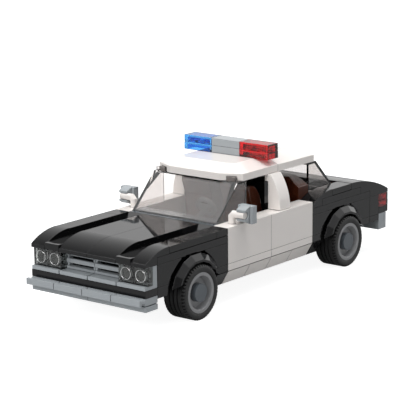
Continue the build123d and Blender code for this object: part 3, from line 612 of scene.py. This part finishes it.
# %% Front seats
SEAT_OUTLINE = (     # millimetres behind the seat's front, and above its foot
    (0, 0), (22, 0), (22, 15.4), (21.6, 18.9), (20.7, 21.3), (19.4, 23.6), (17.8, 25.5), (15.6, 26.8),
    (12.2, 27.0), (12.0, 25.3), (14.2, 19.3), (14.8, 6.4), (0, 6.4),
)
HALF_SEAT_GAP, SEAT_EDGE = 3.0, 0.2
low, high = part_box("front_seats")
outline = [(low.y + y * MM, low.z + z * MM) for y, z in SEAT_OUTLINE]
shape = bmesh.new()
extrude_outline(shape, outline, HALF_SEAT_GAP * MM, high.x)
extrude_outline(shape, outline, low.x, -HALF_SEAT_GAP * MM)
seats = new_piece("curved_front_seats", shape, brown_abs, instead_of="front_seats")
round_edges(seats, SEAT_EDGE)
print("seat faces", len(seats.data.polygons))

# %% [markdown]
# ## Windscreen lugs
# Two lugs at the top of the windscreen hook into slots in the roof's front corners. The lugs are clear,
# but the shade in the slot behind each shows as a dark line round it. Cutting the roof would change its
# solid, so two bevelled blocks draw each lug: a black one behind, which is painted shade for the slot,
# and in front of it one of clear plastic painted grey with that shade.

# %% Windscreen lugs
LUG_PLACE, LUG_TURN = Vector((19.5, -15.35, 51.9)), 25.2     # middle in mm, degrees along the roof corner
LUG_SIZE, SLOT_SHADE_SIZE = (4.1, 0.7, 2.1), (4.7, 0.3, 2.3)       # lug, and the black block of painted slot shade behind it, in millimetres
# distance of the black block of painted slot shade behind the lug, and the lugs' edge radius
SLOT_SHADE_BEHIND, LUG_EDGE = 0.55, 0.1
# each row: piece, size, distance behind the lug, plastic, slot; the black blocks are painted shade
for name, size, behind, material, slot in (
    ("windscreen_lugs", LUG_SIZE, 0.0, painted_shade_clear, "clear_polycarbonate"),
    ("slot_shade_blocks", SLOT_SHADE_SIZE, SLOT_SHADE_BEHIND, black_abs, "black_abs"),
):
    shape = bmesh.new()
    for side in (-1, 1):
        turn = Matrix.Rotation(side * math.radians(LUG_TURN), 4, "Z")
        middle = Vector((side * LUG_PLACE.x, LUG_PLACE.y, LUG_PLACE.z)) + turn @ Vector((0, behind, 0))
        place = Matrix.Translation(middle * MM) @ turn @ Matrix.Diagonal((*size, 1))
        block = bmesh.ops.create_cube(shape, size=MM, matrix=place)["verts"]
        bmesh.ops.bevel(shape, geom=edges_of(block), offset=LUG_EDGE * MM, affect="EDGES", segments=2,
                        profile=0.5, material=-1)
    lugs = new_piece(name, shape, material)
    print(name, "faces", len(lugs.data.polygons))

# %% [markdown]
# ## Smooth shading
# Each solid is a mesh of flat triangles. Round studs and curved slopes should look smooth, and the flat
# faces of a brick should stay flat. The meshes stay as they are, so a short node group does it: it shades
# everything smoothly, apart from edges that bend by more than a given angle.

# %% Smooth shading by angle
FACET_DEGREES = {"roof": 3}     # nodes whose shallow facets show as flat faces


def smooth_by_angle(degrees):
    """Node group that shades smoothly, apart from edges that bend by more than this."""
    group = bpy.data.node_groups.new("smooth by angle", "GeometryNodeTree")
    for side in ("INPUT", "OUTPUT"):
        group.interface.new_socket("Geometry", in_out=side, socket_type="NodeSocketGeometry")
    bricks_in = group.nodes.new("NodeGroupInput")
    soft_faces = group.nodes.new("GeometryNodeSetShadeSmooth")
    edge_angle = group.nodes.new("GeometryNodeInputMeshEdgeAngle")
    is_sharp = group.nodes.new("FunctionNodeCompare")
    is_sharp.inputs[1].default_value = math.radians(degrees)
    sharp_edges = group.nodes.new("GeometryNodeSetShadeSmooth")
    sharp_edges.domain = "EDGE"
    sharp_edges.inputs["Shade Smooth"].default_value = False
    bricks_out = group.nodes.new("NodeGroupOutput")
    for source, target in (
        (bricks_in.outputs[0], soft_faces.inputs["Geometry"]),
        (soft_faces.outputs[0], sharp_edges.inputs["Geometry"]),
        (edge_angle.outputs["Unsigned Angle"], is_sharp.inputs[0]),
        (is_sharp.outputs[0], sharp_edges.inputs["Selection"]),
        (sharp_edges.outputs[0], bricks_out.inputs[0]),
    ):
        group.links.new(source, target)
    return group


angles = {SHARP_DEGREES, *FACET_DEGREES.values()}
smooth_groups = {degrees: smooth_by_angle(degrees) for degrees in sorted(angles)}
print("edges sharper than these degrees stay sharp", list(smooth_groups))

# %% [markdown]
# ## Finish the bricks
# Each node of the model gets the plastic of its slot. Moulded edges are never knife-sharp: a radius of
# a tenth or two of a millimetre catches the light along every brick. Three modifiers do it and leave the
# solids' meshes alone: Weld joins the triangles, the node group sets the shading, and Bevel rounds the
# sharp edges.

# %% Plastics and rounded edges
SLOT_FINISH = {
    "black_abs": black_abs, "white_abs": white_abs, "light_grey_abs": light_grey_abs,
    "dark_grey_abs": dark_grey_abs, "rim_grey_abs": rim_grey_abs, "brown_abs": brown_abs,
    "clear_polycarbonate": clear_window, "blue_polycarbonate": clear_blue, "red_polycarbonate": clear_red,
    "tyre_rubber": tyre_rubber,
}
NODE_FINISH = {"head_lamps": clear_lamp, "tail_lamps_lower": deep_red, "tail_lamps_upper": deep_red}
EDGE_MM, OTHER_EDGE_MM = {"black_abs": 0.1, "white_abs": 0.2}, 0.15     # radius by slot, and of the rest
WELD_MM = 0.002
for row in frame["record"]["subparts"]:
    node, slot = nodes[row["node"]], row["material_slot"]
    node.data.materials.clear()
    node.data.materials.append(NODE_FINISH.get(row["node"], SLOT_FINISH[slot]))
    weld = node.modifiers.new("join triangles", "WELD")
    weld.merge_threshold = WELD_MM * MM
    degrees = FACET_DEGREES.get(row["node"], SHARP_DEGREES)
    node.modifiers.new("smooth by angle", "NODES").node_group = smooth_groups[degrees]
    round_edges(node, EDGE_MM.get(slot, OTHER_EDGE_MM))

# %% [markdown]
# ## Size of the dressed model
# The box round the dressed model is measured.

# %% Sizes and finish
low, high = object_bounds()
